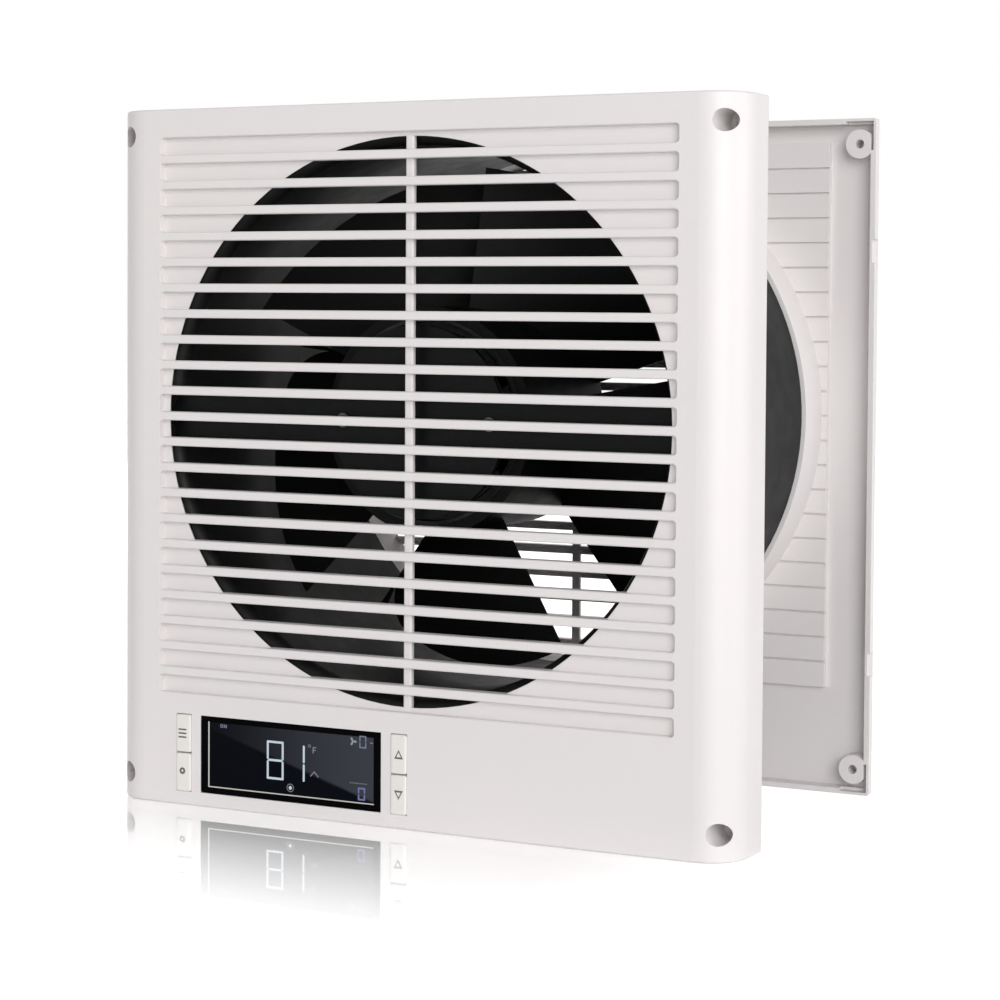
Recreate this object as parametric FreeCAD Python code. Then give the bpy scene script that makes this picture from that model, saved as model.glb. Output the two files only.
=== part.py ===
"""Through-wall room to room fan: two grilled panels joined by a telescopic duct.

Millimetres. X runs to the right along the front panel, Y runs from the front panel through the wall
to the rear panel, and Z is up. The origin is the bottom centre of the whole fan, standing on its panels.
"""
import FreeCAD, Part

import math
import os

os.makedirs("parts", exist_ok=True)

# Driving dimensions: impeller and duct
tip_radius = 104.0
tip_clearance = 6.7
duct_wall = 2.0
slide_clearance = 0.3
mouth_flare = 5.2
mouth_lap = 2.0
rear_step = 0.4
front_duct_length = 92.6
sleeve_overlap = 54.0
wall_gap = 127.0

# Driving dimensions: panels
front_depth = 29.0
rear_depth = 10.0
front_corner_radius = 16.5
rear_corner_radius = 7.0
edge_round = 1.0
wall = 2.4
side_margin = 24.5
top_margin = 11.9

# Driving dimensions: grille
grille_side_border = 3.1
grille_end_border = 1.7
slot_count = 22
bar_height = 3.57
slot_depth = 3.2
slot_floor = 2.2
slot_end_draft = 0.3
slot_corner = 1.2
bar_chamfer = 0.4
groove_width = 0.8
groove_depth = 1.0
block_border = 2.2
strut_width = 3.8
strut_round = 0.9
mouth_bevel = 1.2

# Driving dimensions: corner screw posts and rim details
hole_inset_side = 7.3
hole_inset_end = 10.9
screw_hole_radius = 2.25
pilot_radius = 1.9
pilot_depth = 7.0
counterbore_radius = 4.3
counterbore_depth = 20.0
post_radius = 6.25
rim_relief_length = 13.5
rim_relief_depth = 4.0
rim_relief_wall = 1.2
notch_length = 10.0
notch_depth = 3.5
notch_offset = 88.5
spigot_wall = 2.0
spigot_length = 20.0
socket_depth = 4.0

# Driving dimensions: display and buttons
display_width = 86.0
display_height = 32.0
display_inset = 45.3
display_bottom = 6.0
display_gap = 8.9
lens_thickness = 2.0
lens_clearance = 0.15
lens_ledge = 3.0
display_block_depth = 5.0
display_block_border = 2.4
lcd_thickness = 4.6
button_width = 6.8
button_gap = 5.0
button_split = 0.5
button_clearance = 0.3
button_proud = 0.8
button_travel = 0.6
button_round = 0.6
button_flange = 1.2
stem_radius = 1.8
switch_gap = 0.7
switch_size = 6.0
switch_body_height = 3.5
plunger_radius = 1.7

# Driving dimensions: control board and its screws
board_thickness = 1.6
board_side = 12.0
board_end = 3.0
board_post_radius = 3.2
board_post_inset = 4.0
small_screw_radius = 1.2
small_head_radius = 2.4
small_head_height = 1.6
small_screw_bite = 4.0
connector_size = 9.0
connector_height = 6.0

# Driving dimensions: motor bracket
strap_height = 20.8
strap_thickness = 2.5
strap_setback = 4.6
disc_radius = 39.0
ear_reach = 12.5
ear_thickness = 4.0
ear_margin = 2.6
ear_screw_inset = 5.0
ear_screw_spread = 12.0
duct_post_radius = 4.0
duct_post_height = 8.0
duct_post_offset = 14.3
duct_tab_width = 12.0
duct_tab_thickness = 2.0
duct_tab_end = 6.0
notch_clearance = 0.3
bracket_screw_radius = 1.9
bracket_head_radius = 3.4
bracket_head_height = 2.0
motor_screw_offset = 33.4
motor_screw_radius = 1.5
motor_head_radius = 2.9
motor_head_height = 1.7

# Driving dimensions: motor
base_radius = 37.5
base_thickness = 3.5
bearing_outer_radius = 6.5
bearing_width = 4.0
bearing_shoulder = 1.0
bearing_spacing = 23.0
bearing_tube_wall = 2.5
shaft_radius = 2.5
running_clearance = 0.05
fit_gap = 0.05
motor_board_gap = 1.4
motor_board_radius = 33.0
motor_board_thickness = 1.6
standoff_radius = 2.2
standoff_circle = 28.0
stator_radius = 36.0
stator_height = 20.0
stator_yoke = 5.0
stator_gap = 7.0
tooth_count = 6
tooth_width = 7.0
tooth_tip_depth = 3.0
tooth_tip_gap = 6.0
coil_thickness = 4.0
coil_clearance = 0.1
air_gap = 0.6
magnet_thickness = 3.8
cup_wall = 1.5
cup_front_gap = 3.0
cup_end_gap = 8.0
hub_wall = 4.4
hub_web = 2.5
shaft_tail = 9.0
clip_radius = 4.2
clip_thickness = 0.8
clip_gap = 0.1
nut_flat = 8.0
nut_height = 4.5

# Driving dimensions: impeller blades
blade_count = 5
blade_span_deg = 64.0
blade_lead_deg = 10.5
blade_start = 24.5
blade_axial = 44.0
blade_thickness = 2.6
blade_edge_thickness = 1.1
blade_tip_round = 18.0
blade_root_sink = 1.5
blade_steps = 8
hub_tail = 1.5

# Driving dimensions: power inlet and motor lead
jack_height = 32.0
jack_size = 11.0
jack_rim_gap = 1.0
jack_length = 13.0
jack_nose_radius = 3.9
jack_nose_root = 1.2
jack_clearance = 0.15
jack_bore_radius = 2.8
jack_bore_depth = 9.5
jack_pin_radius = 1.0
lead_radius = 1.6
lead_bend = 9.0
lead_wall_gap = 5.0

# Radii that follow from the impeller
front_duct_inner = tip_radius + tip_clearance
front_duct_outer = front_duct_inner + duct_wall
rear_duct_inner = front_duct_outer + slide_clearance
rear_duct_outer = rear_duct_inner + duct_wall
mouth_radius = front_duct_inner + mouth_flare
opening_radius = mouth_radius - mouth_lap
rear_opening_radius = rear_duct_inner - rear_step

# Panel sizes that follow from the opening
grille_width = 2 * (opening_radius + grille_side_border)
grille_height = 2 * (opening_radius + grille_end_border)
slot_pitch = (grille_height + bar_height) / slot_count
slot_height = slot_pitch - bar_height
grille_bottom = display_bottom + display_height + display_gap
axis_z = grille_bottom + grille_height / 2
panel_width = grille_width + 2 * side_margin
panel_height = grille_bottom + grille_height + top_margin
block_depth = slot_depth + slot_floor
hole_x = panel_width / 2 - hole_inset_side
hole_heights = (hole_inset_end, panel_height - hole_inset_end)

# Depths along Y that follow from the panels, the wall and the motor
overall_depth = button_proud + front_depth + wall_gap + rear_depth
face_y = button_proud - overall_depth / 2
front_rim_y = face_y + front_depth
rear_rim_y = front_rim_y + wall_gap
rear_face_y = rear_rim_y + rear_depth
mouth_y = face_y + block_depth + fit_gap
front_duct_end_y = mouth_y + front_duct_length
rear_seat_y = rear_face_y - block_depth - spigot_length + socket_depth
sleeve_start_y = front_duct_end_y - sleeve_overlap
strap_y = mouth_y + strap_setback
strap_back_y = strap_y + strap_thickness
base_back_y = strap_back_y + base_thickness
front_bearing_y = strap_back_y + base_thickness + bearing_shoulder
rear_bearing_y = front_bearing_y + bearing_width + bearing_spacing
bearing_tube_end_y = rear_bearing_y + bearing_width
stator_y = base_back_y + motor_board_gap + motor_board_thickness + stator_gap
cup_front_y = base_back_y + cup_front_gap
cup_end_y = bearing_tube_end_y + cup_end_gap
bearing_tube_radius = bearing_outer_radius + bearing_tube_wall
magnet_inner = stator_radius + air_gap
cup_inner = magnet_inner + magnet_thickness + fit_gap
cup_outer = cup_inner + cup_wall
hub_inner = cup_outer + fit_gap
hub_outer = hub_inner + hub_wall
blade_front_y = cup_front_y + blade_start
blade_back_y = blade_front_y + blade_axial
web_y = cup_end_y + fit_gap
nut_y = web_y + hub_web

# Places of the display, its board and the buttons
display_left = display_inset - panel_width / 2
display_right = display_left + display_width
display_top = display_bottom + display_height
button_height = (display_height - button_split) / 2
left_button_x = display_left - button_gap - button_width / 2
right_button_x = display_right + button_gap + button_width / 2
lower_button_z = display_bottom + button_height / 2
upper_button_z = display_top - button_height / 2
button_places = {
    "button_menu": (left_button_x, upper_button_z),
    "button_settings": (left_button_x, lower_button_z),
    "button_up": (right_button_x, upper_button_z),
    "button_down": (right_button_x, lower_button_z),
}
board_y = face_y + display_block_depth + lcd_thickness
board_back_y = board_y + board_thickness
board_left = left_button_x - button_width / 2 - board_side
board_right = right_button_x + button_width / 2 + board_side
board_low = display_bottom - board_end
board_high = display_top + board_end
board_posts = [
    (x, z)
    for x in (board_left + board_post_inset, board_right - board_post_inset)
    for z in (board_low + board_post_inset, board_high - board_post_inset)
]
plunger_y = board_y - switch_body_height - switch_gap
stem_end_y = plunger_y - switch_gap
connector_x = board_right - board_post_inset - board_post_radius - connector_size
connector_z = (board_low + board_high) / 2

# Places of the bracket's ears and of the duct's screw posts
ear_end_x = front_duct_inner + ear_reach
ear_screw_x = ear_end_x - ear_screw_inset
ear_back_y = strap_back_y + ear_thickness
ear_screws = [
    (side * ear_screw_x, axis_z + rise * ear_screw_spread / 2)
    for side in (-1, 1)
    for rise in (-1, 1)
]
duct_post_circle = front_duct_inner + duct_post_offset
duct_tab_y = mouth_y + duct_post_height
duct_tab_back_y = duct_tab_y + duct_tab_thickness
duct_post_angles = (45, 135, 225, 315)
duct_posts = [
    (
        duct_post_circle * math.cos(math.radians(angle)),
        axis_z + duct_post_circle * math.sin(math.radians(angle)),
    )
    for angle in duct_post_angles
]

Vector = FreeCAD.Vector
ALONG_X = Vector(1, 0, 0)
ALONG_Y = Vector(0, 1, 0)
ALONG_Z = Vector(0, 0, 1)
AXIS = Vector(0, 0, axis_z)


def block(x0, x1, y0, y1, z0, z1):
    """Box between two corners."""
    return Part.makeBox(x1 - x0, y1 - y0, z1 - z0, Vector(x0, y0, z0))


def rod(radius, x, z, y0, y1):
    """Cylinder along Y."""
    return Part.makeCylinder(radius, y1 - y0, Vector(x, y0, z), ALONG_Y)


def tube(outer, inner, y0, y1, x=0, z=axis_z):
    """Ring along Y, on the fan axis unless another place is given."""
    return rod(outer, x, z, y0, y1).cut(rod(inner, x, z, y0 - wall, y1 + wall))


def prism(points, direction):
    """Closed polygon pushed along a direction."""
    return Part.Face(Part.makePolygon(points + points[:1])).extrude(direction)


def turned(shape, degrees):
    """Copy of a shape turned about the fan axis."""
    copy = shape.copy()
    copy.rotate(AXIS, ALONG_Y, degrees)
    return copy


def screw(x, z, head_y, tip_y, radius, head_radius, head_height):
    """Pan-head screw along Y: the head sits on head_y and the shank runs to tip_y."""
    toward = 1 if tip_y > head_y else -1
    shank = rod(radius, x, z, min(head_y, tip_y), max(head_y, tip_y))
    head_end = head_y - toward * head_height
    head = rod(head_radius, x, z, min(head_y, head_end), max(head_y, head_end))
    slot_half = radius / 3
    slot_floor_y = head_end + toward * head_height / 2
    slot_low = min(head_end - toward, slot_floor_y)
    slot_high = max(head_end - toward, slot_floor_y)
    across = block(x - radius, x + radius, slot_low, slot_high, z - slot_half, z + slot_half)
    upright = block(x - slot_half, x + slot_half, slot_low, slot_high, z - radius, z + radius)
    return head.fuse(shank).cut([across, upright]).removeSplitter()


def plan_solid(half_width, depth, front, radius, z0, z1):
    """Upright solid whose plan is a rectangle with its two front corners rounded."""
    bend = radius * (1 - math.sqrt(0.5))
    corners = [
        Vector(-half_width, depth, z0),
        Vector(-half_width, front + radius, z0),
        Vector(-half_width + radius, front, z0),
        Vector(half_width - radius, front, z0),
        Vector(half_width, front + radius, z0),
        Vector(half_width, depth, z0),
    ]
    edges = [
        Part.makeLine(corners[0], corners[1]),
        Part.Arc(corners[1], Vector(-half_width + bend, front + bend, z0), corners[2]).toShape(),
        Part.makeLine(corners[2], corners[3]),
        Part.Arc(corners[3], Vector(half_width - bend, front + bend, z0), corners[4]).toShape(),
        Part.makeLine(corners[4], corners[5]),
        Part.makeLine(corners[5], corners[0]),
    ]
    return Part.Face(Part.Wire(edges)).extrude(Vector(0, 0, z1 - z0))


def panel_skin(depth, radius):
    """Open-backed tray with rounded upright edges: face at Y 0, rim at Y depth."""
    half = panel_width / 2
    outer = plan_solid(half, depth, 0, radius, 0, panel_height)
    crisp = [
        edge
        for edge in outer.Edges
        if edge.BoundBox.ZLength < edge_round and edge.BoundBox.YMin < depth - edge_round
    ]
    outer = outer.makeFillet(edge_round, crisp)
    inner = plan_solid(half - wall, depth + wall, wall, radius - wall, wall, panel_height - wall)
    return outer.cut(inner)


def slot_levels():
    """Bottom height of every grille slot, from the lowest up."""
    return [grille_bottom + slot_pitch * row for row in range(slot_count)]


def grille_panel(depth, radius, through_radius):
    """Tray with the louvred grille: pockets in the face, grooves behind the bars, a round way through.

    Each pocket has rounded ends and narrows a little to its floor, and its long edges are chamfered where the
    bars meet the face.
    The way through widens to the back, which leaves a thin edge at the front, and a strut crosses it upright.
    """
    half = grille_width / 2
    edge = half + block_border
    backing = block(-edge, edge, 0, block_depth, grille_bottom - block_border,
                    grille_bottom + grille_height + block_border)
    shell = panel_skin(depth, radius).fuse(backing)
    slope = mouth_bevel / slot_floor
    near_radius = through_radius - slope * (slot_depth + wall)
    far_radius = through_radius + slope * (slot_floor + wall)
    mouth = Part.makeCone(near_radius, far_radius, block_depth + 2 * wall, Vector(0, -wall, axis_z), ALONG_Y)
    pockets = []
    ways = []
    grooves = []
    for level in slot_levels():
        plan = [
            Vector(-half - slot_end_draft, -slot_depth, level),
            Vector(half + slot_end_draft, -slot_depth, level),
            Vector(half - slot_end_draft, slot_depth, level),
            Vector(-half + slot_end_draft, slot_depth, level),
        ]
        pocket = prism(plan, Vector(0, 0, slot_height))
        corners = [edge for edge in pocket.Edges if edge.BoundBox.YLength > slot_depth]
        pockets.append(pocket.makeFillet(slot_corner, corners))
        top = level + slot_height
        flare_start = -half + slot_corner
        flare = [
            Vector(flare_start, -bar_chamfer, level - 2 * bar_chamfer),
            Vector(flare_start, bar_chamfer, level),
            Vector(flare_start, bar_chamfer, top),
            Vector(flare_start, -bar_chamfer, top + 2 * bar_chamfer),
        ]
        pockets.append(prism(flare, Vector(-2 * flare_start, 0, 0)))
        row = block(-half, half, -wall, block_depth + wall, level, top)
        ways.append(row.common(mouth))
    groove_rise = slot_height + (bar_height - groove_width) / 2
    for level in slot_levels()[:-1]:
        low = level + groove_rise
        grooves.append(block(-edge - wall, edge + wall, block_depth - groove_depth, block_depth + wall,
                             low, low + groove_width))
    shell = shell.cut(pockets).cut(ways).cut(grooves)
    strut_reach = through_radius + grille_end_border
    strut = block(-strut_width / 2, strut_width / 2, slot_depth, block_depth,
                  axis_z - strut_reach, axis_z + strut_reach)
    upright = [edge for edge in strut.Edges if edge.Length > strut_reach]
    front_edges = [edge for edge in upright if edge.BoundBox.YMax < block_depth]
    strut = strut.makeFillet(strut_round, front_edges)
    return shell.fuse(strut).removeSplitter()


def corner_places():
    """Centres of the four corner screw posts."""
    return [(x, z) for x in (-hole_x, hole_x) for z in hole_heights]


def front_panel():
    """Front tray with counterbored corner posts, display window, button slots and board posts."""
    shell = grille_panel(front_depth, front_corner_radius, opening_radius)
    border = display_block_border
    frame = block(display_left - border, display_right + border, wall / 2, display_block_depth,
                  display_bottom - border, display_top + border)
    additions = [frame]
    for x, z in corner_places():
        additions.append(rod(post_radius, x, z, 0, front_depth))
    for x, z in board_posts:
        additions.append(rod(board_post_radius, x, z, wall / 2, board_y - face_y))
    for x, z in duct_posts:
        additions.append(rod(duct_post_radius, x, z, slot_floor + slot_depth / 2,
                             block_depth + duct_post_height))
    envelope = plan_solid(panel_width / 2 - wall / 2, front_depth, wall / 2, front_corner_radius - wall / 2,
                          wall / 2, panel_height - wall / 2)
    shell = shell.fuse([piece.common(envelope) for piece in additions])
    cuts = []
    for x, z in corner_places():
        cuts.append(rod(screw_hole_radius, x, z, -wall, front_depth + wall))
        cuts.append(rod(counterbore_radius, x, z, -wall, counterbore_depth))
    for x, z in board_posts:
        cuts.append(rod(small_screw_radius, x, z, board_y - face_y - small_screw_bite, front_depth))
    for x, z in duct_posts:
        cuts.append(rod(small_screw_radius, x, z, block_depth + duct_post_height - small_screw_bite,
                        front_depth))
    lens_x0 = display_left - lens_clearance
    lens_x1 = display_right + lens_clearance
    cuts.append(block(lens_x0, lens_x1, -wall, lens_thickness,
                      display_bottom - lens_clearance, display_top + lens_clearance))
    cuts.append(block(display_left + lens_ledge, display_right - lens_ledge,
                      -wall, display_block_depth + wall,
                      display_bottom + lens_ledge, display_top - lens_ledge))
    reach = button_width / 2 + button_clearance
    for x in (left_button_x, right_button_x):
        cuts.append(block(x - reach, x + reach, -wall, wall + fit_gap,
                          display_bottom - button_clearance, display_top + button_clearance))
    nose_start = Vector(-panel_width / 2 - 2 * wall, jack_depth_y() - face_y, jack_height)
    cuts.append(Part.makeCylinder(jack_nose_radius + jack_clearance, 4 * wall, nose_start, ALONG_X))
    shell = shell.cut(cuts).removeSplitter()
    shell.translate(Vector(0, face_y, 0))
    return shell


def rear_panel():
    """Rear tray, turned to face the other room, with blind screw posts, relieved rim and duct spigot."""
    shell = grille_panel(rear_depth, rear_corner_radius, rear_opening_radius)
    envelope = plan_solid(panel_width / 2 - wall / 2, rear_depth, wall / 2, rear_corner_radius - wall / 2,
                          wall / 2, panel_height - wall / 2)
    inner_x = panel_width / 2 - wall
    flat = block(-inner_x, inner_x, 0, rear_depth, wall, panel_height - wall)
    relief = []
    pilots = []
    posts = []
    relief_y = rear_depth - rim_relief_depth
    half = panel_width / 2
    for x, z in corner_places():
        posts.append(rod(post_radius, x, z, 0, rear_depth).common(flat).common(envelope))
        pilots.append(rod(pilot_radius, x, z, rear_depth - pilot_depth, rear_depth + wall))
        edge_x = math.copysign(half - rim_relief_wall, x)
        edge_z = rim_relief_wall if z < panel_height / 2 else panel_height - rim_relief_wall
        deep_x = math.copysign(half - rim_relief_length, x)
        deep_z = rim_relief_length if z < panel_height / 2 else panel_height - rim_relief_length
        relief.append(block(min(edge_x, deep_x), max(edge_x, deep_x), relief_y, rear_depth + wall,
                            min(edge_z, deep_z), max(edge_z, deep_z)))
    notches = []
    for side in (-1, 1):
        for rise in (-1, 1):
            middle = panel_height / 2 + rise * notch_offset
            x0 = min(side * (half - wall / 2), side * (half + wall))
            x1 = max(side * (half - wall / 2), side * (half + wall))
            notches.append(block(x0, x1, rear_depth - notch_depth, rear_depth + wall,
                                 middle - notch_length / 2, middle + notch_length / 2))
    socket_radius = rear_duct_outer + fit_gap
    spigot_end = block_depth + spigot_length
    spigot = tube(socket_radius + spigot_wall, rear_duct_inner, slot_depth + slot_floor / 2, spigot_end)
    socket = rod(socket_radius, 0, axis_z, spigot_end - socket_depth, spigot_end + wall)
    shell = shell.cut(relief).fuse(posts + [spigot]).cut(notches + pilots + [socket]).removeSplitter()
    shell.rotate(Vector(0, 0, 0), ALONG_Z, 180)
    shell.translate(Vector(0, rear_face_y, 0))
    return shell


def display_lens():
    """Smoked window set flush into the front panel."""
    return block(display_left, display_right, face_y, face_y + lens_thickness, display_bottom, display_top)


def lcd_module():
    """Segment display between the window frame and the control board."""
    return block(display_left + display_block_border, display_right - display_block_border,
                 face_y + display_block_depth, board_y,
                 display_bottom + display_block_border, display_top - display_block_border)


def control_board():
    """Printed board with its motor connector, drilled for four screws."""
    board = block(board_left, board_right, board_y, board_back_y, board_low, board_high)
    holes = [rod(small_screw_radius + running_clearance, x, z, board_y - wall, board_back_y + wall)
             for x, z in board_posts]
    socket = block(connector_x, connector_x + connector_size, board_back_y, board_back_y + connector_height,
                   connector_z - connector_size / 2, connector_z + connector_size / 2)
    return board.cut(holes).fuse(socket)


def board_screws():
    """Four screws through the control board into its posts."""
    tip_y = board_y - small_screw_bite
    return Part.makeCompound([
        screw(x, z, board_back_y, tip_y, small_screw_radius, small_head_radius, small_head_height)
        for x, z in board_posts
    ])


def tact_switches():
    """Four square switches on the board, one behind each button."""
    half = switch_size / 2
    switches = []
    for x, z in button_places.values():
        body = block(x - half, x + half, board_y - switch_body_height, board_y, z - half, z + half)
        plunger = rod(plunger_radius, x, z, plunger_y, board_y - switch_body_height)
        switches.append(body.fuse(plunger))
    return Part.makeCompound(switches)


def button(x, z):
    """Key cap with rounded pad, retaining wings behind the panel wall and a stem for its switch."""
    half = button_width / 2
    low = z - button_height / 2
    high = z + button_height / 2
    pad = block(x - half, x + half, face_y - button_proud, face_y + wall, low, high)
    rim = [edge for edge in pad.Edges if edge.BoundBox.YMax < face_y]
    pad = pad.makeFillet(button_round, rim)
    wing_y = face_y + wall + fit_gap
    wing_half = half + button_flange
    wings = block(x - wing_half, x + wing_half, wing_y, wing_y + button_flange, low, high)
    neck = block(x - half, x + half, face_y + wall / 2, wing_y, low, high)
    stem = rod(stem_radius, x, z, wing_y, stem_end_y)
    return pad.fuse([neck, wings, stem]).removeSplitter()


def front_duct():
    """Fixed duct with a quarter-round mouth, notched ears for the motor bracket and four screw tabs."""
    throat_y = mouth_y + mouth_flare
    inner_lip = Vector(mouth_radius, mouth_y, 0)
    inner_throat = Vector(front_duct_inner, throat_y, 0)
    outer_lip = Vector(mouth_radius, mouth_y + duct_wall, 0)
    outer_throat = Vector(front_duct_outer, throat_y, 0)
    inner_end = Vector(front_duct_inner, front_duct_end_y, 0)
    outer_end = Vector(front_duct_outer, front_duct_end_y, 0)
    center = Vector(mouth_radius, throat_y, 0)
    lean = Vector(-math.sqrt(0.5), -math.sqrt(0.5), 0)
    edges = [
        Part.Arc(inner_lip, center + lean * mouth_flare, inner_throat).toShape(),
        Part.makeLine(inner_throat, inner_end),
        Part.makeLine(inner_end, outer_end),
        Part.makeLine(outer_end, outer_throat),
        Part.Arc(outer_throat, center + lean * (mouth_flare - duct_wall), outer_lip).toShape(),
        Part.makeLine(outer_lip, inner_lip),
    ]
    duct = Part.Face(Part.Wire(edges)).revolve(Vector(0, 0, 0), ALONG_Y, 360)
    duct.translate(AXIS)
    bore = rod(front_duct_inner, 0, axis_z, mouth_y - wall, front_duct_end_y + wall)
    ear_half = strap_height / 2 + ear_margin
    arms = []
    cuts = []
    for side in (-1, 1):
        x0, x1 = sorted((side * (front_duct_inner - duct_wall), side * ear_end_x))
        arms.append(block(x0, x1, strap_back_y, ear_back_y, axis_z - ear_half, axis_z + ear_half).cut(bore))
        n0, n1 = sorted((side * (front_duct_inner - mouth_flare), side * (ear_end_x + wall)))
        notch_half = strap_height / 2 + notch_clearance
        cuts.append(block(n0, n1, mouth_y - wall, strap_back_y, axis_z - notch_half, axis_z + notch_half))
    tab_start = front_duct_inner - duct_wall
    tab_end = duct_post_circle + duct_tab_end
    tab = block(tab_start, tab_end, duct_tab_y, duct_tab_back_y,
                axis_z - duct_tab_width / 2, axis_z + duct_tab_width / 2).cut(bore)
    arms += [turned(tab, angle) for angle in duct_post_angles]
    for x, z in duct_posts:
        cuts.append(rod(small_screw_radius + running_clearance, x, z, mouth_y, duct_tab_back_y + wall))
    for x, z in ear_screws:
        cuts.append(rod(bracket_screw_radius, x, z, strap_back_y - wall, ear_back_y + wall))
    channel = lead_radius + notch_clearance
    cuts.append(block(front_duct_inner - mouth_flare, ear_end_x + wall, strap_back_y - wall,
                      strap_back_y + 2 * lead_radius + notch_clearance, axis_z - channel, axis_z + channel))
    return duct.fuse(arms).cut(cuts).removeSplitter()


def duct_screws():
    """Four screws through the duct's tabs into the front panel's posts."""
    return Part.makeCompound([
        screw(x, z, duct_tab_back_y, duct_tab_y - small_screw_bite,
              small_screw_radius, small_head_radius, small_head_height)
        for x, z in duct_posts
    ])


def rear_duct():
    """Sleeve that slides over the front duct and seats in the socket of the rear panel's spigot."""
    return tube(rear_duct_outer, rear_duct_inner, sleeve_start_y, rear_seat_y)


def motor_bracket():
    """Flat strap across the duct mouth with the round motor plate in its middle."""
    strap = block(-ear_end_x, ear_end_x, strap_y, strap_back_y,
                  axis_z - strap_height / 2, axis_z + strap_height / 2)
    holes = [rod(bracket_screw_radius + running_clearance, x, z, strap_y - wall, strap_back_y + wall)
             for x, z in ear_screws]
    holes += [rod(motor_screw_radius + running_clearance, x, axis_z, strap_y - wall, strap_back_y + wall)
              for x in (-motor_screw_offset, motor_screw_offset)]
    return strap.fuse(rod(disc_radius, 0, axis_z, strap_y, strap_back_y)).cut(holes).removeSplitter()


def bracket_screws():
    """Four screws that hold the strap's ends to the duct's ears."""
    return Part.makeCompound([
        screw(x, z, strap_y, ear_back_y, bracket_screw_radius - running_clearance,
              bracket_head_radius, bracket_head_height)
        for x, z in ear_screws
    ])


def motor_screws():
    """Two screws through the bracket's plate into the motor base."""
    return Part.makeCompound([
        screw(x, axis_z, strap_y, base_back_y, motor_screw_radius, motor_head_radius, motor_head_height)
        for x in (-motor_screw_offset, motor_screw_offset)
    ])


def motor_base():
    """Cast plate with the bearing tube, its bearing shoulder and three board standoffs."""
    plate = rod(base_radius, 0, axis_z, strap_back_y, base_back_y)
    stem = rod(bearing_tube_radius, 0, axis_z, base_back_y, bearing_tube_end_y)
    standoff = rod(standoff_radius, 0, axis_z + standoff_circle, base_back_y, base_back_y + motor_board_gap)
    standoffs = [turned(standoff, angle) for angle in (0, 120, 240)]
    shoulder_radius = bearing_outer_radius - bearing_shoulder
    holes = [
        rod(shoulder_radius, 0, axis_z, strap_back_y - wall, bearing_tube_end_y + wall),
        rod(bearing_outer_radius + fit_gap, 0, axis_z, front_bearing_y, bearing_tube_end_y + wall),
    ]
    holes += [rod(motor_screw_radius + running_clearance, x, axis_z, strap_back_y - wall, base_back_y + wall)
              for x in (-motor_screw_offset, motor_screw_offset)]
    return plate.fuse([stem] + standoffs).cut(holes).removeSplitter()


def bearing(start_y):
    """Ball bearing as one ring with its race grooves."""
    ring = tube(bearing_outer_radius, shaft_radius + running_clearance, start_y, start_y + bearing_width)
    race_middle = (bearing_outer_radius + shaft_radius) / 2
    race_half = (bearing_outer_radius - shaft_radius) / 6
    race_depth = bearing_width / 8
    front_race = tube(race_middle + race_half, race_middle - race_half, start_y - wall, start_y + race_depth)
    back_y = start_y + bearing_width
    back_race = tube(race_middle + race_half, race_middle - race_half, back_y - race_depth, back_y + wall)
    return ring.cut([front_race, back_race])


def motor_board():
    """Round driver board on the motor base's standoffs."""
    start = base_back_y + motor_board_gap
    return tube(motor_board_radius, bearing_tube_radius + fit_gap, start, start + motor_board_thickness)


def stator_core():
    """Laminated ring with its teeth and tooth shoes, pressed on the bearing tube."""
    stop = stator_y + stator_height
    inner = bearing_tube_radius + fit_gap
    core = tube(inner + stator_yoke, inner, stator_y, stop)
    shoe = tube(stator_radius, stator_radius - tooth_tip_depth, stator_y, stop)
    half_step = 180 / tooth_count
    gap = block(stator_radius - 2 * tooth_tip_depth, stator_radius + wall, stator_y - wall, stop + wall,
                axis_z - tooth_tip_gap / 2, axis_z + tooth_tip_gap / 2)
    shoe = shoe.cut([turned(gap, half_step * (2 * k + 1)) for k in range(tooth_count)])
    tooth = block(inner + stator_yoke / 2, stator_radius - tooth_tip_depth / 2, stator_y, stop,
                  axis_z - tooth_width / 2, axis_z + tooth_width / 2)
    teeth = [turned(tooth, 2 * half_step * k) for k in range(tooth_count)]
    return core.fuse(teeth + [shoe]).removeSplitter()


def stator_coils():
    """One copper coil round each stator tooth."""
    start = bearing_tube_radius + fit_gap + stator_yoke + coil_clearance
    grow = coil_clearance + coil_thickness
    shoe_inner = stator_radius - tooth_tip_depth
    stop = math.sqrt(shoe_inner ** 2 - (tooth_width / 2 + grow) ** 2) - coil_clearance
    low = stator_y - grow
    high = stator_y + stator_height + grow
    widest = start * math.tan(math.radians(180 / tooth_count)) - coil_clearance
    inner_half = min(tooth_width / 2 + grow, widest)
    outer_half = tooth_width / 2 + grow
    outline = [
        Vector(start, low, axis_z - inner_half),
        Vector(stop, low, axis_z - outer_half),
        Vector(stop, low, axis_z + outer_half),
        Vector(start, low, axis_z + inner_half),
    ]
    coil = prism(outline, Vector(0, high - low, 0))
    window = tooth_width / 2 + coil_clearance
    coil = coil.cut(block(start - wall, stop + wall, stator_y - coil_clearance,
                          stator_y + stator_height + coil_clearance, axis_z - window, axis_z + window))
    return Part.makeCompound([turned(coil, 360 / tooth_count * k) for k in range(tooth_count)])


def rotor_cup():
    """Steel cup that carries the magnets and turns with the shaft."""
    floor_y = cup_end_y - cup_wall
    hollow = rod(cup_inner, 0, axis_z, cup_front_y - wall, floor_y)
    cup = rod(cup_outer, 0, axis_z, cup_front_y, cup_end_y).cut(hollow)
    boss = rod(bearing_outer_radius, 0, axis_z, bearing_tube_end_y + cup_wall, floor_y)
    shaft_hole = rod(shaft_radius + fit_gap, 0, axis_z, cup_front_y, cup_end_y + wall)
    return cup.fuse(boss).cut(shaft_hole).removeSplitter()


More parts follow.
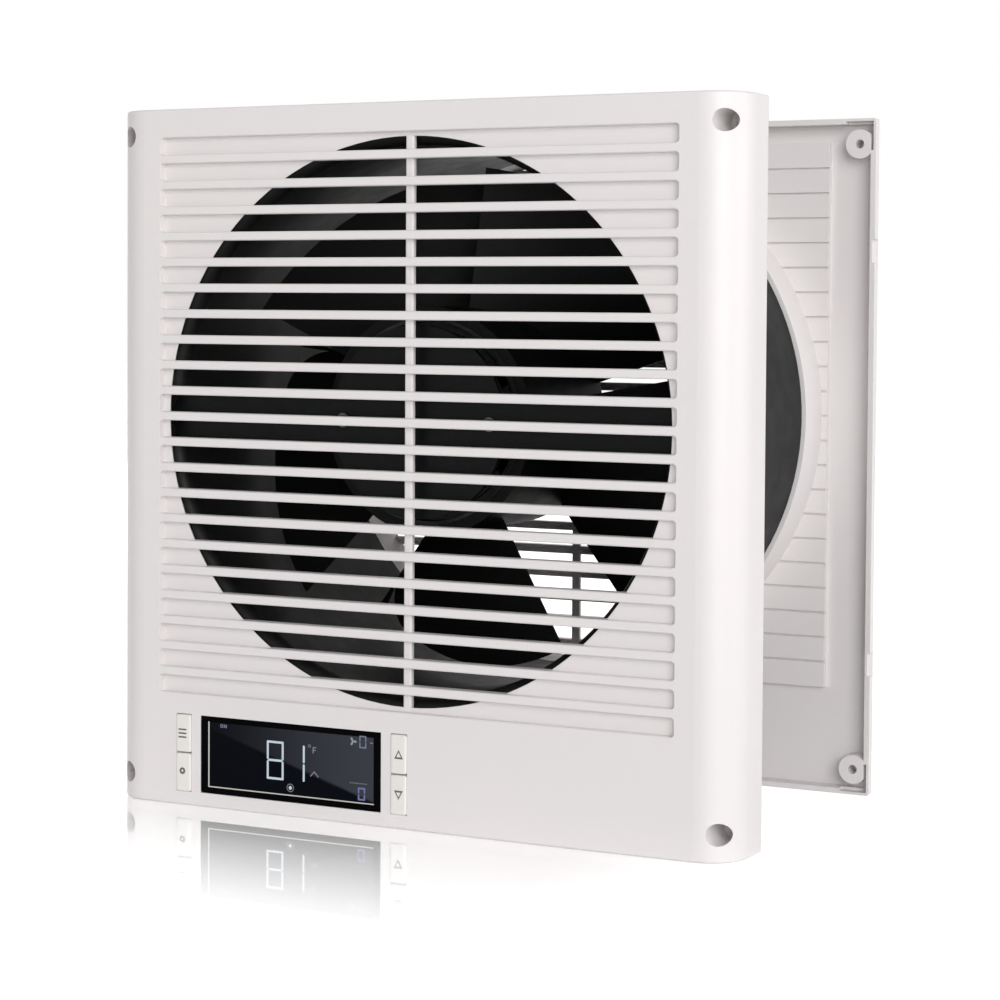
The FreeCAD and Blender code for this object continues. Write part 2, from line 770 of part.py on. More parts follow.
def magnet_ring():
    """Ring magnet bonded inside the cup, level with the stator."""
    return tube(magnet_inner + magnet_thickness, magnet_inner, stator_y, stator_y + stator_height)


def motor_shaft():
    """Shaft through both bearings, the cup and the impeller's web."""
    return rod(shaft_radius, 0, axis_z, front_bearing_y - clip_gap - 2 * clip_thickness, nut_y + shaft_tail)


def shaft_clip():
    """Retaining ring in front of the front bearing."""
    back_y = front_bearing_y - clip_gap
    return tube(clip_radius, shaft_radius + fit_gap, back_y - clip_thickness, back_y)


def impeller_nut():
    """Hexagon nut that clamps the impeller to the shaft."""
    corner = nut_flat / math.sqrt(3)
    angles = [math.radians(60 * k) for k in range(6)]
    points = [Vector(corner * math.cos(a), nut_y, axis_z + corner * math.sin(a)) for a in angles]
    thread = rod(shaft_radius + fit_gap, 0, axis_z, nut_y - wall, nut_y + shaft_tail)
    return prism(points, Vector(0, nut_height, 0)).cut(thread)


def blade_section(distance):
    """Blade profile in the plane at a distance from the axis, on a helical camber line.

    A point of the blade at angle a from its middle lies at depth middle - axial * a / span, so every
    radial line of the blade is level; thickness swells from the edges to the middle as a sine.
    """
    half = math.radians(blade_span_deg / 2)
    middle_y = (blade_front_y + blade_back_y) / 2
    swell = (blade_thickness - blade_edge_thickness) / 2
    front = []
    back = []
    for k in range(blade_steps + 1):
        angle = -half + 2 * half * k / blade_steps
        y = middle_y - blade_axial * angle / (2 * half)
        thick = blade_edge_thickness / 2 + swell * math.cos(math.pi / 2 * angle / half)
        z = axis_z + distance * math.tan(angle)
        front.append(Vector(distance, y - thick, z))
        back.append(Vector(distance, y + thick, z))
    lower = Part.BSplineCurve()
    lower.interpolate(front)
    upper = Part.BSplineCurve()
    upper.interpolate(back)
    return Part.Wire([
        lower.toShape(),
        Part.makeLine(front[-1], back[-1]),
        upper.toShape(),
        Part.makeLine(back[0], front[0]),
    ])


def blade():
    """One blade about +X: a radial-ruled loft trimmed to the hub, the tip circle and a rounded corner."""
    half = math.radians(blade_span_deg / 2)
    near = (hub_outer - blade_root_sink) * math.cos(half)
    loft = Part.makeLoft([blade_section(near - wall), blade_section(tip_radius + wall)], True, True)
    annulus = tube(tip_radius, hub_outer - blade_root_sink, blade_front_y - wall, blade_back_y + wall)
    body = loft.common(annulus)
    corner_angle = -math.degrees(half)
    center_angle = corner_angle + math.degrees(math.asin(blade_tip_round / (tip_radius - blade_tip_round)))
    center_r = tip_radius - blade_tip_round
    center = Vector(center_r * math.cos(math.radians(center_angle)), 0,
                    axis_z + center_r * math.sin(math.radians(center_angle)))
    foot_r = math.sqrt(center_r ** 2 - blade_tip_round ** 2)
    edge_dir = Vector(math.cos(-half), 0, math.sin(-half))
    out_dir = Vector(math.cos(math.radians(center_angle)), 0, math.sin(math.radians(center_angle)))
    foot = Vector(0, 0, axis_z) + edge_dir * foot_r
    top = Vector(0, 0, axis_z) + out_dir * tip_radius
    far = Vector(0, 0, axis_z) + (edge_dir + out_dir) * tip_radius
    wedge = prism([center, foot, far, top], ALONG_Y * (blade_axial + 4 * wall))
    wedge.translate(ALONG_Y * (blade_front_y - 2 * wall))
    disc = rod(blade_tip_round, center.x, center.z, blade_front_y - 3 * wall, blade_back_y + 3 * wall)
    return body.cut(wedge.cut(disc))


def impeller():
    """Moulded impeller: hub sleeve over the rotor cup, a web behind it and the swept blades."""
    hub_end_y = blade_back_y + hub_tail
    hub = rod(hub_outer, 0, axis_z, cup_front_y, hub_end_y)
    hub = hub.cut([
        rod(hub_inner, 0, axis_z, cup_front_y - wall, web_y),
        rod(hub_inner, 0, axis_z, nut_y, hub_end_y + wall),
        rod(shaft_radius + fit_gap, 0, axis_z, web_y - wall, hub_end_y),
    ])
    one = blade()
    blade_middle = blade_lead_deg - blade_span_deg / 2
    blades = [turned(one, -(blade_middle + 360 / blade_count * k)) for k in range(blade_count)]
    return hub.fuse(blades).removeSplitter()


def jack_depth_y():
    """Depth of the power inlet's centre, just inside the front panel's rim."""
    return front_rim_y - jack_rim_gap - jack_size / 2


def power_jack():
    """Barrel socket behind the left side wall, with its nose in the wall's hole."""
    wall_x = -panel_width / 2 + wall
    y = jack_depth_y()
    half = jack_size / 2
    body = block(wall_x, wall_x + jack_length, y - half, y + half, jack_height - half, jack_height + half)
    face_x = -panel_width / 2
    nose_length = wall + jack_nose_root
    nose = Part.makeCylinder(jack_nose_radius, nose_length, Vector(face_x, y, jack_height), ALONG_X)
    socket_start = Vector(face_x - wall, y, jack_height)
    socket = Part.makeCylinder(jack_bore_radius, jack_bore_depth + wall, socket_start, ALONG_X)
    pin = Part.makeCylinder(jack_pin_radius, jack_bore_depth, Vector(face_x + wall, y, jack_height), ALONG_X)
    return body.fuse(nose).cut(socket).fuse(pin).removeSplitter()


def motor_lead():
    """Lead from the motor base along the strap, down beside the duct and across to the control board."""
    y = strap_back_y + lead_radius
    side_x = panel_width / 2 - wall - lead_wall_gap
    start = Vector(base_radius, y, axis_z)
    end = Vector(connector_x + connector_size, y, connector_z)
    bend = lead_bend
    quarter = bend * (1 - math.sqrt(0.5))
    path = Part.Wire([
        Part.makeLine(start, Vector(side_x - bend, y, axis_z)),
        Part.Arc(Vector(side_x - bend, y, axis_z), Vector(side_x - quarter, y, axis_z - quarter),
                 Vector(side_x, y, axis_z - bend)).toShape(),
        Part.makeLine(Vector(side_x, y, axis_z - bend), Vector(side_x, y, connector_z + bend)),
        Part.Arc(Vector(side_x, y, connector_z + bend), Vector(side_x - quarter, y, connector_z + quarter),
                 Vector(side_x - bend, y, connector_z)).toShape(),
        Part.makeLine(Vector(side_x - bend, y, connector_z), end),
    ])
    ring = Part.Wire(Part.makeCircle(lead_radius, start, ALONG_X))
    return path.makePipeShell([ring], True, False)


def build():
    """Every node by name."""
    nodes = {
        "front_panel": front_panel(),
        "rear_panel": rear_panel(),
        "display_lens": display_lens(),
        "lcd_module": lcd_module(),
        "control_board": control_board(),
        "board_screws": board_screws(),
        "tact_switches": tact_switches(),
        "front_duct": front_duct(),
        "duct_screws": duct_screws(),
        "rear_duct": rear_duct(),
        "motor_bracket": motor_bracket(),
        "bracket_screws": bracket_screws(),
        "motor_base": motor_base(),
        "motor_screws": motor_screws(),
        "front_bearing": bearing(front_bearing_y),
        "rear_bearing": bearing(rear_bearing_y),
        "motor_board": motor_board(),
        "stator_core": stator_core(),
        "stator_coils": stator_coils(),
        "rotor_cup": rotor_cup(),
        "magnet_ring": magnet_ring(),
        "motor_shaft": motor_shaft(),
        "shaft_clip": shaft_clip(),
        "impeller_nut": impeller_nut(),
        "impeller": impeller(),
        "power_jack": power_jack(),
        "motor_lead": motor_lead(),
    }
    for name, (x, z) in button_places.items():
        nodes[name] = button(x, z)
    return nodes


for name, shape in build().items():
    state = "valid" if shape.isValid() else "INVALID"
    print(name, len(shape.Solids), "solids", round(shape.Volume), "mm3", state)
    shape.exportStep("parts/%s.step" % name)
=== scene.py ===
"""Looks of a through-wall room to room fan: finishes, lit display, keys, windings and studio.

The file is laid out as an add-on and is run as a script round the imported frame. Lengths are in
metres, in the frame's own axes: X to the right along the front panel, Y through the wall, Z up. A
skin is a tuple of the vertices, the corners of all faces in one row, and the number of corners of
each face.
"""
import math

import bpy
import numpy as np
from mathutils import Matrix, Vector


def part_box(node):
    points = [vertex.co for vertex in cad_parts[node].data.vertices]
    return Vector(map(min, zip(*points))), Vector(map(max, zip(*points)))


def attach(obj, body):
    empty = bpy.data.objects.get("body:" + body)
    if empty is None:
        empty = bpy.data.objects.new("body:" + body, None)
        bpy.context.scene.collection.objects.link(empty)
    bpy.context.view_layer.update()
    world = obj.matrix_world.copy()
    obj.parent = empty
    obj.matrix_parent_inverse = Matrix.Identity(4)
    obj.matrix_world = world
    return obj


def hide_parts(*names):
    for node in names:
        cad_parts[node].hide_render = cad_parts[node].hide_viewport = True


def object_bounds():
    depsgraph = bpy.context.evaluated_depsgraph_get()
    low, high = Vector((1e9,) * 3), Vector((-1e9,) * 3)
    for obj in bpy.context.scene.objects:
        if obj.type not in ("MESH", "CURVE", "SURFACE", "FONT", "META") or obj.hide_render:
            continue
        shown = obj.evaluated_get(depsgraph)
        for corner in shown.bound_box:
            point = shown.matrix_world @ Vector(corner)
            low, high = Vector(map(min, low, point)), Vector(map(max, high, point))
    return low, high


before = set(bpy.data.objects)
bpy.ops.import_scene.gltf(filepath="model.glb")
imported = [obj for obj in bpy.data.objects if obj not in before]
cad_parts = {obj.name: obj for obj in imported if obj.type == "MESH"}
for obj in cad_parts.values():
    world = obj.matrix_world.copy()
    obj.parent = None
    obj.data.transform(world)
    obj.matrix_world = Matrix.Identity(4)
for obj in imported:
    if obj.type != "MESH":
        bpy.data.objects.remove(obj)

bl_info = {
    "name": "Room to Room Fan",
    "version": (1, 0, 0),
    "blender": (4, 5, 0),
    "location": "View3D > Sidebar > Fan",
    "description": "Finishes, display, keys, windings and studio of a through-wall fan",
    "category": "Object",
}

MM = 0.001
WHITE = (1, 1, 1, 1)
CAD_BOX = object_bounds()
LENS_LOW, LENS_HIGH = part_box("display_lens")
FACE_Y = LENS_LOW.y
KEY_NAMES = ("button_menu", "button_settings", "button_up", "button_down")
# A key's face lies this far behind its printed sign, which is level with the solid key's face.
KEY_SINK = 0.04 * MM
# Faces that meet at less than this are shaded as one smooth surface.
SHARP_ANGLE = math.radians(40)
# Lit segments of each digit, by the usual letters.
SEGMENTS = {"0": "abcdef", "1": "bc", "8": "abcdefg"}
# Specular level of a pane with a coat against glare, which keeps its mirror image weak.
PANE_GLOSS = 0.012


def linear(code):
    """Linear RGBA of an sRGB hex colour such as #E6E4E3."""
    srgb = np.array([int(code[k:k + 2], 16) for k in (1, 3, 5)]) / 255
    rgb = np.where(srgb <= 0.04045, srgb / 12.92, ((srgb + 0.055) / 1.055) ** 2.4)
    return (*rgb.tolist(), 1.0)


def real(name, description, default, **kind):
    """Property for a real number."""
    return bpy.props.FloatProperty(name=name, description=description, default=default, **kind)


def length(name, description, default):
    """Property for a length in metres."""
    return real(name, description, default, unit="LENGTH", precision=5)


def angle(name, description, default):
    """Property for an angle in radians."""
    return real(name, description, default, subtype="ANGLE")


def power(name, description, default):
    """Property for a lamp's power in watts."""
    return real(name, description, default, unit="POWER")


def share(name, description, default):
    """Property for a share from nought to one."""
    return real(name, description, default, subtype="FACTOR", min=0, max=1)


def tally(name, description, default):
    """Property for a number of like things."""
    return bpy.props.IntProperty(name=name, description=description, default=default, min=1)


def colour(name, description, code):
    """Property for a colour, given as sRGB hex."""
    return bpy.props.FloatVectorProperty(name=name, description=description, default=linear(code),
                                         size=4, subtype="COLOR", min=0, max=1)


class FanFinishSettings(bpy.types.PropertyGroup):
    """Colours of the moulded and coated pieces."""

    shell: colour("Shell", "White of the two panels", "#E6E1DF")
    shell_shade: colour("Shell shade", "Cooler white that drifts through the panels", "#E2DEDF")
    shell_edge: length("Shell edge", "Radius that softens the panels' moulded edges", 0.35 * MM)
    duct: colour("Duct", "Black of the ducts", "#161616")
    impeller: colour("Impeller", "Black of the impeller", "#0E0E0F")
    bracket: colour("Bracket", "Powder coat of the motor bracket", "#0D0E0F")


class FanDisplaySettings(bpy.types.PropertyGroup):
    """Sizes and colours of the display."""

    glass: colour("Glass", "Black border of the window", "#030304")
    panel: colour("Panel", "Unlit liquid crystal", "#0A0D13")
    # Grey of the reflection that is painted into the crystal's upper right corner.
    painted_reflection: colour("Sheen", "Greyer corner of the liquid crystal", "#3C3F46")
    digit: colour("Digit", "Large lit digits", "#C3D3DE")
    dim: colour("Dim", "Small grey signs", "#8E9298")
    violet: colour("Violet", "Small violet sign", "#666BA8")
    haze: colour("Haze", "Small blue-grey signs", "#767D9C")
    rule: colour("Rule", "Light line round the panel", "#CFCFC6")
    side_border: length("Side border", "Black border at the crystal's left and right", 3.2 * MM)
    upper_border: length("Upper border", "Black border above the liquid crystal", 2.3 * MM)
    lower_border: length("Lower border", "Black border below the liquid crystal", 3.0 * MM)
    digit_width: length("Digit width", "Width of a large digit", 8.1 * MM)
    digit_height: length("Digit height", "Height of a large digit", 15.9 * MM)
    stroke: length("Stroke", "Width of a lit segment", 0.92 * MM)


class FanKeySettings(bpy.types.PropertyGroup):
    """Sizes and colours of the keys."""

    corner: length("Corner", "Corner radius of a key cap", 1.0 * MM)
    spread: length("Spread", "Reach of the cap's skin past the solid key's sides", 0.22 * MM)
    edge: length("Edge", "Rounding of a key cap's front edge", 0.75 * MM)
    wing: length("Wing", "Reach and thickness of the retaining wings", 1.2 * MM)
    wing_depth: length("Wing depth", "Depth of the wings behind the panel's face", 2.45 * MM)
    stem: length("Stem", "Radius of the stem that presses the switch", 1.8 * MM)
    cap: colour("Cap", "Warm white of the keys", "#EAE7E3")
    ink: colour("Ink", "Print of the signs on the keys", "#5B5457")


class FanCoilSettings(bpy.types.PropertyGroup):
    """Sizes of the stator's windings."""

    teeth: tally("Teeth", "Number of wound teeth", 6)
    layers: tally("Layers", "Layers of wire on a tooth", 4)
    wire: length("Wire", "Diameter of the enamelled wire", 1.0 * MM)
    inner: length("Inner", "Radius at which a winding starts", 14.15 * MM)
    half_width: length("Half width", "Half of a winding's width across its tooth", 7.6 * MM)
    corner: length("Corner", "Bend of the outer layer at the tooth's corners", 3.2 * MM)


class FanStageSettings(bpy.types.PropertyGroup):
    """Camera, light and floor of the studio."""

    camera_x: length("Camera X", "Camera place to the right of the middle", 0.4872)
    camera_y: length("Camera Y", "Camera place from the front face", -0.8722)
    camera_z: length("Camera Z", "Camera height", 0.2099)
    yaw: angle("Yaw", "Turn of the view to the left", 0.4715)
    pitch: angle("Pitch", "Tilt of the view downwards", 0.0380)
    roll: angle("Roll", "Turn about the view axis", 0.0064)
    lens: real("Lens", "Focal length on a 36 mm frame", 90.66, subtype="DISTANCE_CAMERA")
    shift: real("Shift", "Upright lens shift", -0.1)
    key_power: power("Key light", "Soft light from the front right", 63.0)
    side_power: power("Side light", "Soft light from the right", 17.0)
    back_power: power("Back light", "Soft light from behind on the left", 24.0)
    ambient: share("Ambient", "Strength of the even room light", 0.42)
    floor_half: length("Floor half", "Half of the floor's side", 6.0)
    floor_lift: share("Floor lift", "Glow that makes the bare floor white", 0.68)
    mirror: share("Mirror", "Share of the floor's mirror image at the fan's foot", 0.72)
    mirror_reach: length("Mirror reach", "Where the image ends, ahead of the face", 0.189)


def ring_skin(rings, capped=True):
    """Skin through closed rings of points, given as an array of rings by points by three.

    Quads join each ring to the next, and either flat caps close the first and last ring or the last
    joins the first. A ring runs anticlockwise as seen by someone who looks the way the rings follow
    one another.
    """
    count, size = rings.shape[:2]
    index = np.arange(count * size).reshape(count, size)
    near = index[:-1] if capped else index
    far = index[1:] if capped else np.roll(index, -1, 0)
    quads = np.stack([near, far, np.roll(far, -1, 1), np.roll(near, -1, 1)], -1)
    corners, sizes = quads.ravel(), np.full(quads.size // 4, 4)
    if capped:
        corners = np.concatenate([corners, index[0], index[-1, ::-1]])
        sizes = np.append(sizes, [size, size])
    return rings.reshape(-1, 3), corners, sizes


def at_depth(outline, depth):
    """Outlines of points (x, z) as points in space, each outline at its own depth."""
    depth = np.broadcast_to(np.asarray(depth, float)[..., None], outline.shape[:-1])
    return np.stack([outline[..., 0], depth, outline[..., 1]], -1)


def plate(outline, front, back):
    """Flat plate: an outline carried straight from one depth to another."""
    return ring_skin(at_depth(np.stack([outline, outline]), (front, back)))


def band(outer, inner, front, back):
    """Flat closed band between two outlines of as many points, round its four sides."""
    rings = at_depth(np.stack([outer, outer, inner, inner]), (front, back, back, front))
    return ring_skin(rings, capped=False)


def rounded_rectangle(width, height, radius, steps=5):
    """Outline about the origin: quarter circles round the corners' centres and straight sides.

    The sizes may be arrays, which give as many outlines.
    """
    quarter = np.repeat(np.arange(4), steps + 1)
    turn = np.radians(90 * quarter + np.tile(np.linspace(0, 90, steps + 1), 4))
    side = np.array([[1, 1], [-1, 1], [-1, -1], [1, -1]])[quarter]
    half = np.stack([width, height], -1)[..., None, :] / 2
    radius = np.asarray(radius)[..., None, None]
    return side * (half - radius) + radius * np.stack([np.cos(turn), np.sin(turn)], -1)


def quarter_round(radius, points):
    """Insets and depths of the outlines round a quarter-round edge, from a face back to its wall.

    The inset shrinks as one less the angle's sine, and the depth grows as one less its cosine.
    """
    turn = np.radians(np.linspace(0, 90, points))
    return radius * (1 - np.sin(turn)), radius * (1 - np.cos(turn))


def rayed(reach, points=72):
    """Outline about the origin whose reach is a function of the angle."""
    turn = np.linspace(0, 2 * np.pi, points, endpoint=False)
    return reach(turn)[:, None] * np.stack([np.cos(turn), np.sin(turn)], -1)


def circle(radius):
    """Circle about the origin."""
    return rayed(lambda turn: np.full_like(turn, radius))


def stroke_outline(points, width):
    """Outline of an open broken line: each point moves half the width both ways on the mitre."""
    along = np.diff(points, axis=0)
    along /= np.linalg.norm(along, axis=1, keepdims=True)
    normal = np.stack([-along[:, 1], along[:, 0]], -1)
    before = np.concatenate([normal[:1], normal])
    after = np.concatenate([normal, normal[-1:]])
    mitre = (before + after) / (1 + np.sum(before * after, 1, keepdims=True))
    return np.concatenate([points - mitre * width / 2, (points + mitre * width / 2)[::-1]])


def add_piece(name, skins, material, body):
    """New object at the origin from skins, riding on a body."""
    starts = np.cumsum([0] + [len(vertices) for vertices, _, _ in skins])
    vertices = np.concatenate([skin[0] for skin in skins])
    corners = np.concatenate([skin[1] + start for skin, start in zip(skins, starts)])
    sizes = np.concatenate([skin[2] for skin in skins])
    mesh = bpy.data.meshes.new(name)
    mesh.vertices.add(len(vertices))
    mesh.vertices.foreach_set("co", vertices.ravel())
    mesh.loops.add(len(corners))
    mesh.loops.foreach_set("vertex_index", corners)
    mesh.polygons.add(len(sizes))
    mesh.polygons.foreach_set("loop_start", np.cumsum(sizes) - sizes)
    mesh.update(calc_edges=True)
    if mesh.validate():
        raise ValueError(f"The mesh of {name} has faulty faces")
    mesh.polygons.foreach_set("use_smooth", np.ones(len(sizes), bool))
    mesh.set_sharp_from_angle(angle=SHARP_ANGLE)
    mesh.materials.append(material)
    piece = bpy.data.objects.new(name, mesh)
    bpy.context.scene.collection.objects.link(piece)
    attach(piece, body)
    return piece


def dress(material, *nodes):
    """Give carried-over nodes a finish."""
    for node in nodes:
        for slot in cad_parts[node].material_slots:
            slot.material = material


def add(tree, kind, inputs=None, **settings):
    """Add a node: settings are its own properties, inputs its sockets.

    An input is a value or an output to link.
    """
    node = tree.nodes.new(kind)
    for name, value in settings.items():
        setattr(node, name, value)
    for name, value in (inputs or {}).items():
        if isinstance(value, bpy.types.NodeSocket):
            tree.links.new(value, node.inputs[name])
        else:
            node.inputs[name].default_value = value
    return node


def new_finish(name):
    """Empty node material with its tree and the object coordinates."""
    material = bpy.data.materials.new(name)
    material.use_nodes = True
    tree = material.node_tree
    tree.nodes.clear()
    place = add(tree, "ShaderNodeTexCoord").outputs["Object"]
    return material, tree, place


def close_finish(tree, sockets):
    """Principled shader on the material's output."""
    shader = add(tree, "ShaderNodeBsdfPrincipled", sockets)
    add(tree, "ShaderNodeOutputMaterial", {"Surface": shader.outputs["BSDF"]})


def clouded(tree, place, first, second, size):
    """Colour that drifts between two in clouds about as wide as a real size."""
    cloud = add(tree, "ShaderNodeTexNoise", {"Vector": place, "Scale": 1 / size, "Detail": 2.0})
    mixed = add(tree, "ShaderNodeMix", {"Factor": cloud.outputs["Fac"], "A": first, "B": second},
                data_type="RGBA")
    return mixed.outputs["Result"]


def uneven(tree, place, middle, swing, size):
    """Value that swings about a middle one in clouds about as wide as a real size.

    The noise itself seldom leaves the range from 0.3 to 0.7.
    """
    cloud = add(tree, "ShaderNodeTexNoise", {"Vector": place, "Scale": 1 / size, "Detail": 2.0})
    swung = add(tree, "ShaderNodeMapRange", {
        "Value": cloud.outputs["Fac"], "From Min": 0.3, "From Max": 0.7,
        "To Min": middle - swing, "To Max": middle + swing,
    })
    return swung.outputs["Result"]


def grained(tree, place, relief, edge, size):
    """Normal of a fine grain of a real size, over edges softened by a radius."""
    soft = add(tree, "ShaderNodeBevel", {"Radius": edge}, samples=6)
    grain = add(tree, "ShaderNodeTexNoise", {"Vector": place, "Scale": 1 / size, "Detail": 3.0})
    bump = add(tree, "ShaderNodeBump", {
        "Strength": relief, "Distance": 0.05 * MM, "Height": grain.outputs["Fac"],
        "Normal": soft.outputs["Normal"],
    })
    return bump.outputs["Normal"]


def ridged(tree, place, dark, light, spacing, relief, depth, direction):
    """Colour and normal of ridges a real spacing apart, light on top and dark between.

    At a scale of one, the wave node has 20 waves in a length of two pi.
    """
    waves = add(tree, "ShaderNodeTexWave", {
        "Vector": place, "Scale": 2 * math.pi / (20 * spacing), "Distortion": 0.4, "Detail": 1.0,
    }, bands_direction=direction).outputs["Fac"]
    tone = add(tree, "ShaderNodeMix", {"Factor": waves, "A": dark, "B": light}, data_type="RGBA")
    bump = add(tree, "ShaderNodeBump", {"Strength": relief, "Distance": depth, "Height": waves})
    return tone.outputs["Result"], bump.outputs["Normal"]


def moulded_plastic(name, first, second, rough, grain, relief, edge, gloss=0.5):
    """Moulded plastic: satin, with soft edges, a fine spark-eroded grain and a slow drift of tint.

    The real grain is finer than a pixel, so it is drawn a little coarser to show as satin. Gloss is
    the specular level, a half for bare plastic and less where the mould was etched matt.
    """
    material, tree, place = new_finish(name)
    close_finish(tree, {
        "Base Color": clouded(tree, place, first, second, size=55 * MM),
        "Roughness": uneven(tree, place, rough, swing=0.04, size=9 * MM),
        "Specular IOR Level": gloss,
        "IOR": 1.53,
        "Normal": grained(tree, place, relief, edge, size=grain),
    })
    return material


def worked_metal(name, first, second, rough, metallic=1.0, grain=0.8 * MM, relief=0.15, gloss=0.5):
    """Plated, cast, ground or coated metal: cloudy tint, uneven gloss and a fine tooth."""
    material, tree, place = new_finish(name)
    close_finish(tree, {
        "Base Color": clouded(tree, place, first, second, size=6 * MM),
        "Roughness": uneven(tree, place, rough, swing=0.07, size=2.5 * MM),
        "Metallic": metallic,
        "Specular IOR Level": gloss,
        "Normal": grained(tree, place, relief, edge=0.1 * MM, size=grain),
    })
    return material


def stacked_steel():
    """Stack of punched sheets: a dark line every half millimetre along the stack."""
    material, tree, place = new_finish("laminated electrical steel")
    tone, normal = ridged(tree, place, linear("#4A4B4E"), linear("#8D8E91"), spacing=0.5 * MM,
                          relief=0.5, depth=0.1 * MM, direction="Y")
    close_finish(tree, {
        "Base Color": tone,
        "Roughness": uneven(tree, place, 0.47, swing=0.08, size=3 * MM),
        "Metallic": 1.0,
        "Normal": normal,
    })
    return material


def printed_board():
    """Printed board: green lacquer over copper lands, which show as a lighter maze of traces."""
    material, tree, place = new_finish("solder mask on glass board")
    upright = add(tree, "ShaderNodeMapping", {"Vector": place, "Rotation": (math.pi / 2, 0, 0)})
    traces = add(tree, "ShaderNodeTexBrick", {
        "Vector": upright.outputs["Vector"], "Color1": linear("#0E5A2C"),
        "Color2": linear("#12693A"), "Mortar": linear("#0A4221"), "Scale": 1.0,
        "Mortar Size": 0.35 * MM, "Brick Width": 7 * MM, "Row Height": 2.2 * MM,
    })
    step = add(tree, "ShaderNodeBump", {"Strength": 0.25, "Distance": 0.05 * MM,
                                        "Height": traces.outputs["Fac"]})
    close_finish(tree, {
        "Base Color": traces.outputs["Color"],
        "Roughness": uneven(tree, place, 0.31, swing=0.06, size=4 * MM),
        "Coat Weight": 0.4,
        "Normal": step.outputs["Normal"],
    })
    return material


def braided_sleeve():
    """Braided sleeve on the motor lead: slanting threads about a millimetre apart."""
    material, tree, place = new_finish("braided nylon sleeve")
    tone, normal = ridged(tree, place, linear("#0C0C0D"), linear("#232325"), spacing=1.0 * MM,
                          relief=0.6, depth=0.2 * MM, direction="DIAGONAL")
    close_finish(tree, {
        "Base Color": tone,
        "Roughness": uneven(tree, place, 0.62, swing=0.08, size=1.5 * MM),
        "Normal": normal,
    })
    return material


def enamelled_wire():
    """Copper wire under clear enamel: warm metal with a glossy coat and slightly burnt patches."""
    material, tree, place = new_finish("enamelled copper wire")
    close_finish(tree, {
        "Base Color": clouded(tree, place, linear("#B4612F"), linear("#9A4E25"), size=5 * MM),
        "Roughness": uneven(tree, place, 0.3, swing=0.06, size=2 * MM),
        "Metallic": 1.0,
        "Coat Weight": 0.6,
        "Coat Roughness": 0.12,
    })
    return material


def glossy_pane(name, first, second, rough):
    """Polished acrylic or glass pane, very dark, with faint unevenness in its gloss."""
    material, tree, place = new_finish(name)
    close_finish(tree, {
        "Base Color": clouded(tree, place, first, second, size=30 * MM),
        "Roughness": uneven(tree, place, rough, swing=0.02, size=12 * MM),
        "Specular IOR Level": PANE_GLOSS,
        "IOR": 1.49,
    })
    return material


def liquid_crystal(dark, grey):
    """Unlit crystal behind its polariser: near black, with a painted reflection in one corner.

    The painted reflection greys the crystal past a slanting edge: it grows to the right and lies
    above a line that falls to the right.
    """
    material, tree, place = new_finish("liquid crystal glass")
    upward = (0.287, 0.0, 0.958)
    height = add(tree, "ShaderNodeVectorMath", {0: place, 1: upward}, operation="DOT_PRODUCT")
    above = add(tree, "ShaderNodeMapRange", {
        "Value": height.outputs["Value"], "From Min": 4.6 * MM, "From Max": 6.2 * MM,
    }, interpolation_type="SMOOTHSTEP")
    across = add(tree, "ShaderNodeSeparateXYZ", {"Vector": place})
    growth = add(tree, "ShaderNodeMapRange", {
        "Value": across.outputs["X"], "From Min": LENS_LOW.x, "From Max": LENS_HIGH.x,
        "To Min": 0.05, "To Max": 1.0,
    }, interpolation_type="SMOOTHSTEP")
    # Painted reflection: the crystal turns grey above the slanting line, more so to the right.
    painted_reflection = add(tree, "ShaderNodeMath", {0: above.outputs["Result"], 1: growth.outputs["Result"]},
                operation="MULTIPLY")
    tone = add(tree, "ShaderNodeMix", {"Factor": painted_reflection.outputs[0], "A": dark, "B": grey},
               data_type="RGBA")
    close_finish(tree, {
        "Base Color": tone.outputs["Result"],
        "Roughness": uneven(tree, place, 0.07, swing=0.02, size=12 * MM),
        "Specular IOR Level": PANE_GLOSS,
    })
    return material


def lit_sign(name, tint, strength):
    """Lit part of the display: its own glow, a little uneven like a real backlight."""
    material, tree, place = new_finish(name)
    faintest = 0.86
    faint = (*(faintest * part for part in tint[:3]), 1.0)
    close_finish(tree, {
        "Base Color": clouded(tree, place, linear("#262626"), linear("#303030"), size=4 * MM),
        "Roughness": uneven(tree, place, 0.1, swing=0.02, size=4 * MM),
        "Emission Color": clouded(tree, place, faint, tint, size=4 * MM),
        "Emission Strength": strength,
    })
    return material


class FAN_OT_panels(bpy.types.Operator):
    """Finish the two moulded panels"""

    bl_idname = "fan.panels"
    bl_label = "Panels"

    def execute(self, context):
        settings = context.scene.fan_finish
        # The grain breaks up the gloss to a satin white, and the softened edges catch a thin line
        # of light.
        dress(moulded_plastic("white moulded ABS", settings.shell, settings.shell_shade, rough=0.42,
                              grain=0.9 * MM, relief=0.06, edge=settings.shell_edge),
              "front_panel", "rear_panel")
        return {"FINISHED"}


